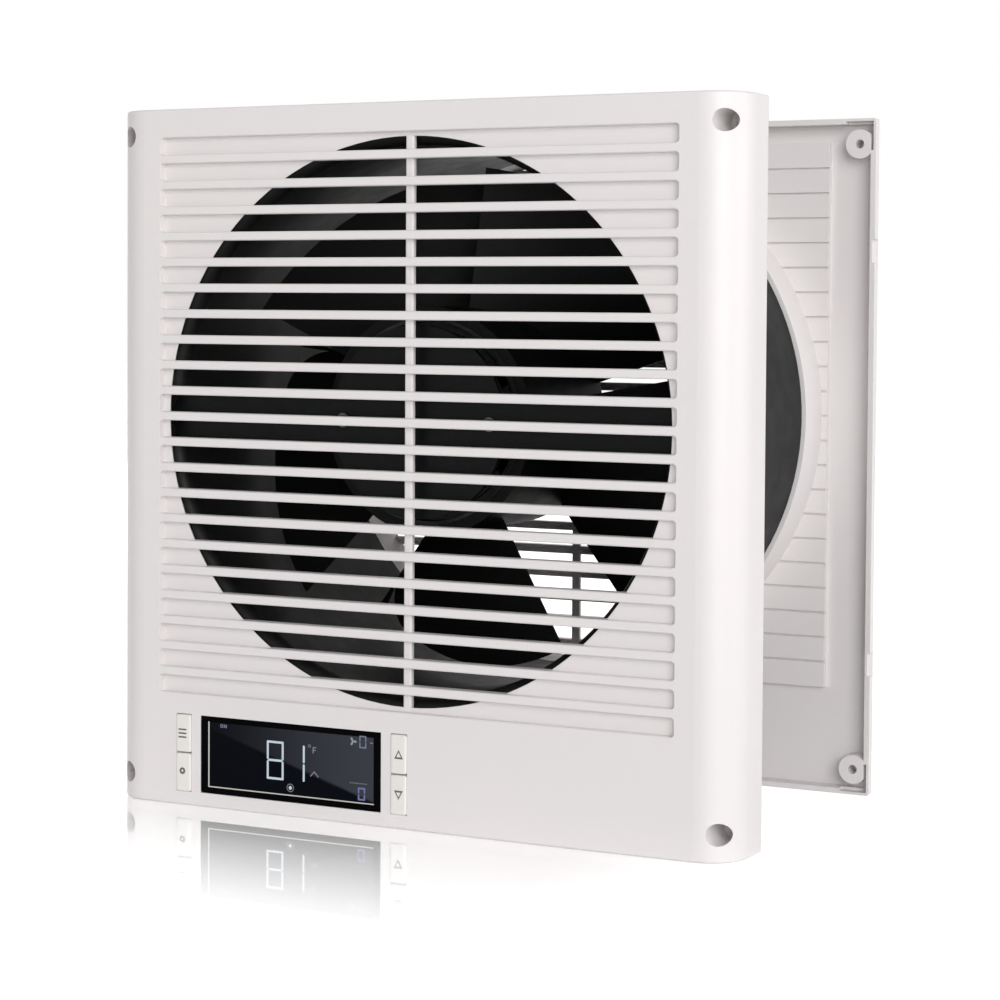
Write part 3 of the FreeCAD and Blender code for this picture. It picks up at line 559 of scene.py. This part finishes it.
def digit(sign, centre, width, height, stroke):
    """Outlines of the lit segments of one digit.

    Segments a and d are plain bars between the uprights at the top and foot. The uprights f, b, e
    and c reach from a clipped outer corner to a pointed end near half height, and g is a bar across
    the middle with two pointed ends. An outline that is mirrored is also reversed, which keeps it
    anticlockwise.
    """
    right, top, half = width / 2, height / 2, stroke / 2
    gap, clip = 0.12 * stroke, 0.3 * stroke
    inner = right - stroke
    bar = np.array([[-inner, top - stroke], [inner, top - stroke], [inner, top], [-inner, top]])
    post = np.array([[inner, half + gap], [inner + half, gap], [right, half + gap],
                     [right, top - clip], [right - clip, top], [inner, top]])
    middle = np.array([[gap - inner - half, 0], [-inner, -half], [inner, -half],
                       [inner + half - gap, 0], [inner, half], [-inner, half]])
    across, upright = np.array([-1, 1]), np.array([1, -1])
    outlines = {"a": bar, "b": post, "c": (post * upright)[::-1], "d": (bar * upright)[::-1],
                "e": post * across * upright, "f": (post * across)[::-1], "g": middle}
    return [outlines[name] + centre for name in SEGMENTS[sign]]


class FAN_OT_display(bpy.types.Operator):
    """Build the display window with its liquid crystal, lit digits and signs"""

    bl_idname = "fan.display"
    bl_label = "Display"

    def execute(self, context):
        settings = context.scene.fan_display
        self.pane(settings)
        self.signs(settings)
        return {"FINISHED"}

    def pane(self, settings):
        """Window with a rounded front edge, and the liquid crystal inside its black border."""
        middle = np.array([LENS_LOW.x + LENS_HIGH.x, LENS_LOW.z + LENS_HIGH.z]) / 2
        width, height = LENS_HIGH.x - LENS_LOW.x, LENS_HIGH.z - LENS_LOW.z
        edge, corner, crystal_corner = 0.3 * MM, 0.5 * MM, 0.3 * MM
        edge_inset, edge_fall = quarter_round(edge, points=5)
        inset = np.append(edge_inset, 0)
        depth = np.append(FACE_Y + edge_fall, LENS_HIGH.y)
        outlines = rounded_rectangle(width - 2 * inset, height - 2 * inset, corner - inset / 2)
        # Smoked acrylic is deep black at the border, with a faint clean reflection.
        smoked = glossy_pane("smoked acrylic", settings.glass, linear("#08090B"), rough=0.06)
        window = add_piece("display_window", [ring_skin(at_depth(outlines + middle, depth))],
                           smoked, "front_unit")
        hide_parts("display_lens")
        crystal = rounded_rectangle(width - 2 * settings.side_border,
                                    height - settings.upper_border - settings.lower_border,
                                    crystal_corner)
        crystal += middle + np.array([0, (settings.lower_border - settings.upper_border) / 2])
        # The polariser leaves the crystal a shade bluer than its border, and a painted reflection
        # greys its upper right corner.
        skin = plate(crystal, front=FACE_Y - 0.02 * MM, back=FACE_Y + 0.1 * MM)
        add_piece("display_crystal", [skin], liquid_crystal(settings.panel, settings.painted_reflection),
                  "front_unit")

    def signs(self, settings):
        """Digits, rule and small signs as thin lit plates.

        Places on the face and widths of lines are in millimetres.
        """
        front, back = FACE_Y - 0.06 * MM, FACE_Y
        tens, units, lamp, letter = (-59.8, 22.6), (-49.7, 22.4), (-52.5, 11.9), (-85.9, 34.6)
        degree, fan_sign = (-43.4, 29.9), (-23.0, 33.5)
        upper_zero, lower_zero = (-18.4, 33.6), (-18.9, 12.5)
        dashes = [(-24.0 + 1.2 * k, 16.7) for k in range(7)]

        def at(outline, place):
            """Outline moved to a place in millimetres."""
            return outline + np.array(place) * MM

        def solid(outlines):
            """Lit plates from outlines in metres."""
            return [plate(outline, front, back) for outline in outlines]

        def lines(*runs, width):
            """Lit plates along broken lines in millimetres."""
            return solid(stroke_outline(np.array(run) * MM, width * MM) for run in runs)

        def ring(place, outer, inner):
            """Lit ring in millimetres."""
            return [band(at(circle(outer * MM), place), at(circle(inner * MM), place), front, back)]

        def number(sign, place, width, height, stroke):
            """Lit plates of one digit about a place in millimetres."""
            return solid(digit(sign, np.array(place) * MM, width, height, stroke))

        wide, tall, stroke = settings.digit_width, settings.digit_height, settings.stroke
        large = number("8", tens, wide, tall, stroke)
        large += number("1", units, wide, 0.93 * tall, stroke)
        large += solid([at(circle(0.75 * MM), lamp)])
        self.light_up("display_digits", large, "white segment", settings.digit, strength=0.9)

        rule = lines([(-92.2, 36.0), (-92.2, 8.6)], width=0.6)
        rule += lines([(-91.9, 8.83), (-13.2, 8.83)], width=0.46)
        self.light_up("display_rule", rule, "light guide edge", settings.rule, strength=0.8)

        letter_f = [(-41.7, 27.0), (-41.7, 29.4), (-40.2, 29.4)], [(-41.5, 28.3), (-40.5, 28.3)]
        arrow, dash = [(-43.0, 17.5), (-41.1, 19.5), (-39.2, 17.5)], [(-14.9, 33.5), (-13.8, 33.5)]
        small = ring(lamp, outer=1.7, inner=1.42) + ring(degree, outer=0.65, inner=0.4)
        small += lines(*letter_f, arrow, dash, width=0.42)
        self.light_up("display_signs", small, "grey sign", settings.dim, strength=0.6)

        # Three thin blades: the reach peaks at nought, one third and two thirds of a turn.
        blades = rayed(lambda turn: 1.8 * MM * (0.2 + 0.8 * np.abs(np.cos(1.5 * turn)) ** 3))
        self.light_up("display_fan_sign", solid([at(blades, fan_sign)]), "pale sign", settings.dim,
                      strength=0.85)

        violet = number("0", lower_zero, width=3.4 * MM, height=5.2 * MM, stroke=0.7 * MM)
        self.light_up("display_violet_sign", violet, "violet sign", settings.violet, strength=0.75)

        hazy = number("0", upper_zero, width=3.2 * MM, height=5.0 * MM, stroke=0.5 * MM)
        small_dash = rounded_rectangle(0.8 * MM, 0.4 * MM, radius=0.15 * MM, steps=2)
        hazy += solid(at(small_dash, place) for place in dashes)
        letter_o = (rounded_rectangle(1.3 * MM, 1.5 * MM, radius=0.45 * MM),
                    rounded_rectangle(0.65 * MM, 0.85 * MM, radius=0.2 * MM))
        hazy.append(band(*(at(outline, letter) for outline in letter_o), front, back))
        letter_n = ([(-84.7, 33.85), (-84.7, 35.35)], [(-84.5, 35.2), (-83.8, 34.0)],
                    [(-83.6, 33.85), (-83.6, 35.35)])
        hazy += lines(*letter_n, width=0.33)
        self.light_up("display_haze_signs", hazy, "blue-grey sign", settings.haze, strength=0.7)

    def light_up(self, name, skins, finish, tint, strength):
        """One group of lit signs on the front unit."""
        add_piece(name, skins, lit_sign(finish, tint, strength), "front_unit")


def key_cap(name, settings):
    """Closed skin of one key: crowned cap with a rounded edge, its wall, retaining wings and stem.

    The outlines run from the middle of the face out over a quarter-round edge, back along the wall,
    out to the wings and in to the stem. The skin nearly fills its slot at the sides and the foot.
    """
    low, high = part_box(name)
    foot = settings.spread if low.z < LENS_LOW.z + settings.corner else 0.0
    middle = np.array([low.x + high.x, low.z - foot + high.z]) / 2
    wings, height = high.x - low.x, high.z - low.z + foot
    width = wings - 2 * settings.wing + 2 * settings.spread
    stem = 2 * settings.stem
    wing_front = FACE_Y + settings.wing_depth
    wing_back = wing_front + settings.wing
    smallest, wing_corner = 0.25 * MM, 0.3 * MM
    # The crown is two outlines inside the edge, and falls a little to each and then to the edge.
    crown_inset, crown_fall, edge_start = [2.4 * MM, 1.4 * MM], [0, 0.02 * MM], 0.05 * MM
    edge_inset, edge_fall = quarter_round(settings.edge, points=6)
    inset = np.concatenate([crown_inset, edge_inset])
    fall = np.concatenate([crown_fall, edge_start + edge_fall])
    corners = np.maximum(settings.corner - inset, smallest)
    widths = np.append(width - 2 * inset, [width, wings, wings, stem, stem])
    heights = np.append(height - 2 * inset, [height, height, height, stem, stem])
    radii = np.append(corners, [settings.corner, wing_corner, wing_corner,
                                settings.stem, settings.stem])
    depths = np.append(low.y + KEY_SINK + fall,
                       [wing_front, wing_front, wing_back, wing_back, high.y])
    return ring_skin(at_depth(rounded_rectangle(widths, heights, radii) + middle, depths))


def key_sign(name, front, back):
    """Printed sign of one key: three lines, a small cog, or a triangle that points up or down.

    The cog's reach swells and shrinks as the cosine of eight times the angle.
    """
    low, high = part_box(name)
    centre = np.array([low.x + high.x, low.z + high.z]) / 2
    if name == "button_menu":
        bar = rounded_rectangle(4.0 * MM, 0.65 * MM, radius=0.25 * MM, steps=3) + centre
        return [plate(bar + np.array([-0.3, 1.6 * k]) * MM, front, back) for k in (-1, 0, 1)]
    if name == "button_settings":
        place = centre + np.array([-0.3, 0.5]) * MM
        cog = rayed(lambda turn: (1.4 + 0.12 * np.cos(8 * turn)) * MM) + place
        return [band(cog, circle(0.48 * MM) + place, front, back)]
    corners = np.array([[0, 1.0], [-0.95, -0.75], [0.95, -0.75]])
    shift, outer, inner = np.array([0.3, -0.2]), 2.1, 1.15
    if name == "button_down":
        mirror = np.array([1, -1])
        corners, shift = (corners * mirror)[::-1], shift * mirror
    place = centre + shift * MM
    return [band(corners * outer * MM + place, corners * inner * MM + place, front, back)]


class FAN_OT_keys(bpy.types.Operator):
    """Build the four keys with their printed signs"""

    bl_idname = "fan.keys"
    bl_label = "Keys"

    def execute(self, context):
        settings = context.scene.fan_keys
        # A little warmer and smoother than the panels, so the keys stand apart from them.
        plastic = moulded_plastic("warm white moulded ABS", settings.cap, linear("#E6E3DF"),
                                  rough=0.4, grain=0.9 * MM, relief=0.05, edge=0.1 * MM)
        # Ink from a soft pad dries matt and slightly blotched.
        ink = moulded_plastic("pad printed ink", settings.ink, linear("#645C5F"),
                              rough=0.55, grain=0.6 * MM, relief=0.1, edge=0.02 * MM)
        for name in KEY_NAMES:
            cap = add_piece(name.replace("button", "key"), [key_cap(name, settings)], plastic, name)
            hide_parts(name)
            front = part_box(name)[0].y
            add_piece(name.replace("button", "sign"), key_sign(name, front, front + 2 * KEY_SINK),
                      ink, name)
        return {"FINISHED"}


class FAN_OT_air_path(bpy.types.Operator):
    """Finish the ducts, the impeller and the motor bracket"""

    bl_idname = "fan.air_path"
    bl_label = "Air Path"

    def execute(self, context):
        settings = context.scene.fan_finish
        # An etched mould leaves the ducts deep black, with a weak sheen where they curve.
        dress(moulded_plastic("black moulded ABS", settings.duct, linear("#1C1C1D"), rough=0.45,
                              grain=1.2 * MM, relief=0.08, edge=0.3 * MM, gloss=0.12),
              "front_duct", "rear_duct")
        # Short glass fibres roughen the skin, so the blades stay darker than the ducts.
        dress(moulded_plastic("black glass filled nylon", settings.impeller, linear("#131314"),
                              rough=0.48, grain=1.0 * MM, relief=0.12, edge=0.3 * MM, gloss=0.1),
              "impeller")
        # Powder coat melts into a faint orange peel.
        dress(worked_metal("powder coated steel", settings.bracket, linear("#131416"), rough=0.45,
                           metallic=0.0, grain=0.9 * MM, relief=0.35, gloss=0.12), "motor_bracket")
        return {"FINISHED"}


def coil_layer(settings, layer):
    """Skins of one layer of wire, one for each tooth.

    The wire's path is a rounded rectangle round the tooth that moves out by one wire in each turn.
    A small circle is carried along it: one axis points out along the tooth, the other across the
    path. Each tooth's winding is the first one turned about the fan's axis.
    """
    low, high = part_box("stator_coils")
    axis = np.array([low.x + high.x, low.y + high.y, low.z + high.z]) / 2
    radius = settings.wire / 2
    sunk = (2 * layer + 1) * radius
    turns = int((high.x - axis[0] - settings.inner) / settings.wire)
    corner = max(settings.corner - 2 * layer * radius, radius)
    loop = rounded_rectangle(2 * (settings.half_width - sunk), high.y - low.y - 2 * sunk, corner,
                             steps=3)
    loops = np.tile(loop, (turns, 1))
    out = np.linspace(settings.inner + radius, high.x - axis[0] - radius, len(loops))
    path = np.stack([out, loops[:, 1], loops[:, 0]], -1)
    outward = np.array([1.0, 0.0, 0.0])
    across = np.cross(outward, np.gradient(path, axis=0))
    across /= np.linalg.norm(across, axis=1, keepdims=True)
    section = np.radians(np.arange(0, 360, 60))[:, None]
    tube = path[:, None] + radius * (outward * np.cos(section) + across[:, None] * np.sin(section))
    turn = 2 * np.pi * np.arange(settings.teeth)[:, None, None] / settings.teeth
    x, y, z = np.moveaxis(tube, -1, 0)
    windings = np.stack([
        np.cos(turn) * x - np.sin(turn) * z,
        np.broadcast_to(y, (len(turn), *y.shape)),
        np.sin(turn) * x + np.cos(turn) * z,
    ], -1) + axis
    return [ring_skin(winding) for winding in windings]


class FAN_OT_motor(bpy.types.Operator):
    """Wind the stator and finish the motor's metal"""

    bl_idname = "fan.motor"
    bl_label = "Motor"

    def execute(self, context):
        settings = context.scene.fan_coils
        skins = [skin for layer in range(settings.layers) for skin in coil_layer(settings, layer)]
        # Each turn of wire shows its own line of light under the enamel.
        windings = add_piece("coil_windings", skins, enamelled_wire(), "front_unit")
        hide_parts("stator_coils")
        # Punched sheets show as fine lines along the stack.
        dress(stacked_steel(), "stator_core")
        # A blasted casting is grey and coarse.
        dress(worked_metal("die cast aluminium", linear("#9A9B9D"), linear("#8B8C8F"), rough=0.5,
                           grain=1.5 * MM, relief=0.4), "motor_base")
        # Ground steel is the brightest metal here.
        dress(worked_metal("ground bearing steel", linear("#B9BABC"), linear("#A7A8AB"), rough=0.2,
                           grain=0.5 * MM, relief=0.05),
              "front_bearing", "rear_bearing", "motor_shaft")
        # Black passivated zinc keeps some of the metal's sheen.
        dress(worked_metal("black zinc cup steel", linear("#2A2A2C"), linear("#222224"), rough=0.35,
                           metallic=0.7), "rotor_cup")
        # Pressed and fired powder is dull, dark and toothed.
        dress(worked_metal("sintered ferrite", linear("#3A3836"), linear("#2E2D2C"), rough=0.6,
                           metallic=0.2, grain=0.7 * MM, relief=0.4), "magnet_ring")
        return {"FINISHED"}


class FAN_OT_fasteners(bpy.types.Operator):
    """Finish the screws, the clip and the nut"""

    bl_idname = "fan.fasteners"
    bl_label = "Fasteners"

    def execute(self, context):
        # Zinc plate is bright and a little cloudy.
        dress(worked_metal("zinc plated steel", linear("#A9AAAC"), linear("#95979B"), rough=0.32),
              "board_screws", "duct_screws", "shaft_clip", "impeller_nut")
        # Black oxide is nearly matt.
        dress(worked_metal("black oxide steel", linear("#1B1B1C"), linear("#262627"), rough=0.4,
                           metallic=0.6), "bracket_screws")
        # Black nickel keeps a dark mirror that glints.
        dress(worked_metal("black nickel steel", linear("#5E5D5A"), linear("#4A4947"), rough=0.25),
              "motor_screws")
        return {"FINISHED"}


class FAN_OT_electrics(bpy.types.Operator):
    """Finish the boards, the switches, the inlet, the display module and the motor lead"""

    bl_idname = "fan.electrics"
    bl_label = "Electrics"

    def execute(self, context):
        # Lacquer shines over the raised copper.
        dress(printed_board(), "control_board", "motor_board")
        # Nylon housings are plain black with a low sheen.
        dress(moulded_plastic("black moulded nylon", linear("#161617"), linear("#1B1B1C"),
                              rough=0.5, grain=0.8 * MM, relief=0.1, edge=0.1 * MM),
              "tact_switches", "power_jack")
        # The module's glass is a blue black.
        dress(glossy_pane("polarised glass", linear("#10131A"), linear("#151922"), rough=0.1),
              "lcd_module")
        # Crossing threads break the light along the lead.
        dress(braided_sleeve(), "motor_lead")
        return {"FINISHED"}


def seen(tree):
    """One for a ray from the eye, a mirror or glass, and nought for one that only carries light."""
    path = add(tree, "ShaderNodeLightPath")
    level = path.outputs["Is Camera Ray"]
    for kind in ("Is Glossy Ray", "Is Transmission Ray"):
        level = add(tree, "ShaderNodeMath", {0: level, 1: path.outputs[kind]},
                    operation="MAXIMUM").outputs[0]
    return level


class FAN_OT_stage(bpy.types.Operator):
    """Set the floor, the lights, the white surround and the camera"""

    bl_idname = "fan.stage"
    bl_label = "Stage"

    def execute(self, context):
        settings = context.scene.fan_stage
        context.scene.view_settings.view_transform = "Standard"
        self.floor(settings)
        self.surround(context.scene, settings)
        self.light("key_light", settings.key_power, place=(2.0, -2.4, 0.9), size=2.0)
        self.light("side_light", settings.side_power, place=(3.0, 0.3, 0.8), size=1.6)
        back = self.light("back_light", settings.back_power, place=(-1.7, 1.2, 0.7), size=1.0)
        # Seen low from the front, its mirror image would turn the panels' top plain white.
        back.visible_glossy = False
        self.camera(context.scene, settings)
        return {"FINISHED"}

    def floor(self, settings):
        """Pale floor that is white to the eye and keeps the shadow."""
        half = settings.floor_half
        corners = [(-half, -half, 0), (half, -half, 0), (half, half, 0), (-half, half, 0)]
        mesh = bpy.data.meshes.new("floor")
        mesh.from_pydata(corners, [], [[0, 1, 2, 3]])
        floor = bpy.data.objects.new("floor", mesh)
        bpy.context.scene.collection.objects.link(floor)
        mesh.materials.append(self.floor_finish(settings))

    def floor_finish(self, settings):
        """Pale floor with a mirror image in front of the fan.

        The image fades forwards, under the fan, to the right, and as the view rises above a low
        slant. Each fade is a value, where it starts and ends, its levels there, and its course.
        """
        material, tree, place = new_finish("pale polished floor")
        lift = add(tree, "ShaderNodeMath", {0: seen(tree), 1: settings.floor_lift},
                   operation="MULTIPLY")
        matt = add(tree, "ShaderNodeBsdfDiffuse", {"Color": linear("#F2F2F2")})
        glow = add(tree, "ShaderNodeEmission", {"Color": WHITE, "Strength": lift.outputs[0]})
        white = add(tree, "ShaderNodeAddShader", {0: matt.outputs[0], 1: glow.outputs[0]})
        gloss = add(tree, "ShaderNodeBsdfGlossy", {"Color": WHITE, "Roughness": 0.02})
        spot = add(tree, "ShaderNodeSeparateXYZ", {"Vector": place}).outputs
        facing = add(tree, "ShaderNodeLayerWeight").outputs["Facing"]
        fades = (
            (spot["Y"], FACE_Y - settings.mirror_reach, FACE_Y - 0.02, 0.0, 1.0, "LINEAR"),
            (spot["Y"], FACE_Y, FACE_Y + 0.03, 1.0, 0.0, "LINEAR"),
            (spot["X"], LENS_HIGH.x + 0.08, LENS_HIGH.x + 0.2, 1.0, 0.15, "SMOOTHSTEP"),
            (facing, 0.6, 0.72, 0.0, 1.0, "LINEAR"),
        )
        level = settings.mirror
        for value, start, end, first, last, course in fades:
            fade = add(tree, "ShaderNodeMapRange", {
                "Value": value, "From Min": start, "From Max": end, "To Min": first, "To Max": last,
            }, interpolation_type=course)
            level = add(tree, "ShaderNodeMath", {0: level, 1: fade.outputs["Result"]},
                        operation="MULTIPLY").outputs[0]
        both = add(tree, "ShaderNodeMixShader", {
            0: level, 1: white.outputs[0], 2: gloss.outputs[0],
        })
        add(tree, "ShaderNodeOutputMaterial", {"Surface": both.outputs[0]})
        return material

    def surround(self, scene, settings):
        """World that is white to the eye and in mirrors, and an even soft light for the rest."""
        world = bpy.data.worlds.new("white room")
        world.use_nodes = True
        scene.world = world
        tree = world.node_tree
        tree.nodes.clear()
        level = add(tree, "ShaderNodeMapRange", {"Value": seen(tree), "To Min": settings.ambient,
                                                 "To Max": 1.0})
        room = add(tree, "ShaderNodeBackground", {"Color": WHITE,
                                                  "Strength": level.outputs["Result"]})
        add(tree, "ShaderNodeOutputWorld", {"Surface": room.outputs[0]})

    def light(self, name, watts, place, size):
        """Square soft light aimed at the fan's middle."""
        lamp = bpy.data.lights.new(name, "AREA")
        lamp.size = size
        lamp.energy = watts
        holder = bpy.data.objects.new(name, lamp)
        bpy.context.scene.collection.objects.link(holder)
        target = (CAD_BOX[0] + CAD_BOX[1]) / 2
        holder.location = place
        holder.rotation_euler = (target - holder.location).to_track_quat("-Z", "Y").to_euler()
        return holder

    def camera(self, scene, settings):
        """Camera at the photograph's place, turned by the yaw, the pitch and the roll."""
        data = bpy.data.cameras.new("camera")
        data.lens = settings.lens
        data.shift_y = settings.shift
        data.clip_end = 50
        camera = bpy.data.objects.new("camera", data)
        scene.collection.objects.link(camera)
        place = Matrix.Translation((settings.camera_x, settings.camera_y + FACE_Y,
                                    settings.camera_z))
        camera.matrix_world = (place @ Matrix.Rotation(settings.yaw, 4, "Z")
                               @ Matrix.Rotation(math.pi / 2 - settings.pitch, 4, "X")
                               @ Matrix.Rotation(settings.roll, 4, "Z"))
        scene.camera = camera


SETTINGS = {
    "fan_finish": FanFinishSettings,
    "fan_display": FanDisplaySettings,
    "fan_keys": FanKeySettings,
    "fan_coils": FanCoilSettings,
    "fan_stage": FanStageSettings,
}
STEPS = (FAN_OT_panels, FAN_OT_display, FAN_OT_keys, FAN_OT_air_path, FAN_OT_motor,
         FAN_OT_fasteners, FAN_OT_electrics, FAN_OT_stage)


class FAN_PT_builder(bpy.types.Panel):
    """Steps that dress the fan, in order"""

    bl_idname = "FAN_PT_builder"
    bl_label = "Room to Room Fan"
    bl_space_type = "VIEW_3D"
    bl_region_type = "UI"
    bl_category = "Fan"

    def draw(self, context):
        for step in STEPS:
            self.layout.operator(step.bl_idname)


def register():
    """Register the settings, the operators and the panel."""
    for kind in (*SETTINGS.values(), *STEPS, FAN_PT_builder):
        bpy.utils.register_class(kind)
    for name, kind in SETTINGS.items():
        setattr(bpy.types.Scene, name, bpy.props.PointerProperty(type=kind))


def unregister():
    """Undo register, in reverse."""
    for name in SETTINGS:
        delattr(bpy.types.Scene, name)
    for kind in reversed((*SETTINGS.values(), *STEPS, FAN_PT_builder)):
        bpy.utils.unregister_class(kind)


def main():
    """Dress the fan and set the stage."""
    register()
    bpy.ops.fan.panels()
    bpy.ops.fan.display()
    bpy.ops.fan.keys()
    bpy.ops.fan.air_path()
    bpy.ops.fan.motor()
    bpy.ops.fan.fasteners()
    bpy.ops.fan.electrics()
    bpy.ops.fan.stage()


if __name__ == "__main__":
    main()
